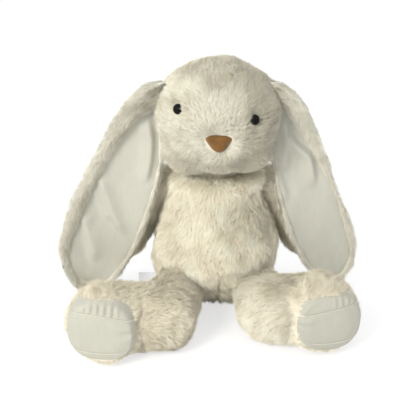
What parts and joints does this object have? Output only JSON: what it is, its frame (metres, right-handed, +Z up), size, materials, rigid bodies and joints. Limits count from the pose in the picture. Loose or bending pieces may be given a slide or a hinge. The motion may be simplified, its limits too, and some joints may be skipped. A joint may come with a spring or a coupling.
{
  "type": "plush rabbit",
  "caption": "Seated plush rabbit with long lop ears, stuffed jointed limbs, a bean-bag seat and smooth foot soles.",
  "frame": {"origin": "on the floor, under the middle of the whole seated toy", "axes": "+X is the right side seen from the front and runs from ear to ear, the face looks along -Y, +Z is up"},
  "size_m": [0.3129, 0.232, 0.2725],
  "materials": {
    "body_fur": "long-pile cream plush",
    "head_fur": "medium-pile greyish white plush",
    "ear_fur": "medium-pile plush",
    "ear_lining": "short-pile satin-like velour",
    "sole_velboa": "smooth short-pile velboa",
    "fibre_filling": "loose polyester fibre",
    "pellets": "plastic pellets in an inner bag",
    "washer_plastic": "satin",
    "eye_plastic": "polished black",
    "nose_suede": "brushed suede cloth",
    "label_tape": "plain woven tape, blank"
  },
  "bodies": {
    "torso": {"seat_panel": "sole_velboa", "belly_panel_left": "body_fur", "belly_panel_right": "body_fur", "back_panel": "body_fur", "torso_stuffing": "fibre_filling", "pellet_bag": "pellets", "tail_cover": "body_fur", "tail_stuffing": "fibre_filling", "care_label": "label_tape"},
    "neck": {"neck_stuffing": "fibre_filling"},
    "head": {"head_panel_left": "head_fur", "head_panel_right": "head_fur", "head_gusset": "head_fur", "head_stuffing": "fibre_filling", "eye_left": "eye_plastic", "eye_right": "eye_plastic", "eye_washer_left": "washer_plastic", "eye_washer_right": "washer_plastic", "nose": "nose_suede"},
    "left_ear": {"ear_back_left": "ear_fur", "ear_lining_left": "ear_lining"},
    "right_ear": {"ear_back_right": "ear_fur", "ear_lining_right": "ear_lining"},
    "left_arm": {"arm_cover_left": "body_fur", "arm_stuffing_left": "fibre_filling"},
    "right_arm": {"arm_cover_right": "body_fur", "arm_stuffing_right": "fibre_filling"},
    "left_leg": {"leg_cover_left": "body_fur", "foot_sole_left": "sole_velboa", "leg_stuffing_left": "fibre_filling"},
    "right_leg": {"leg_cover_right": "body_fur", "foot_sole_right": "sole_velboa", "leg_stuffing_right": "fibre_filling"}
  },
  "joints": [
    {"name": "neck_nod", "type": "hinge", "parent": "torso", "child": "neck", "pos_m": [0.0076, 0.01, 0.164], "axis": [1, 0, 0], "range_deg": [-6, 6], "stiffness_Nm_per_rad": 0.8},
    {"name": "neck_turn", "type": "hinge", "parent": "neck", "child": "head", "pos_m": [0.0076, 0.01, 0.164], "axis": [0, 0, 1], "range_deg": [-8, 8], "stiffness_Nm_per_rad": 0.6},
    {"name": "ear_left_lift", "type": "hinge", "parent": "head", "child": "left_ear", "pos_m": [-0.0554, 0, 0.236], "axis": [0, 0.9986, 0.0523], "range_deg": [0, 120]},
    {"name": "ear_right_lift", "type": "hinge", "parent": "head", "child": "right_ear", "pos_m": [0.0706, 0, 0.236], "axis": [0, -0.9986, -0.0523], "range_deg": [0, 120]},
    {"name": "arm_left_lift", "type": "hinge", "parent": "torso", "child": "left_arm", "pos_m": [-0.0434, 0.032, 0.138], "axis": [0, 1, 0], "range_deg": [0, 90]},
    {"name": "arm_right_lift", "type": "hinge", "parent": "torso", "child": "right_arm", "pos_m": [0.0586, 0.032, 0.138], "axis": [0, -1, 0], "range_deg": [0, 90]},
    {"name": "leg_left_swing", "type": "hinge", "parent": "torso", "child": "left_leg", "pos_m": [-0.0344, -0.017, 0.033], "axis": [1, 0, 0], "range_deg": [0, 80]},
    {"name": "leg_right_swing", "type": "hinge", "parent": "torso", "child": "right_leg", "pos_m": [0.0496, -0.017, 0.033], "axis": [1, 0, 0], "range_deg": [0, 80]}
  ]
}
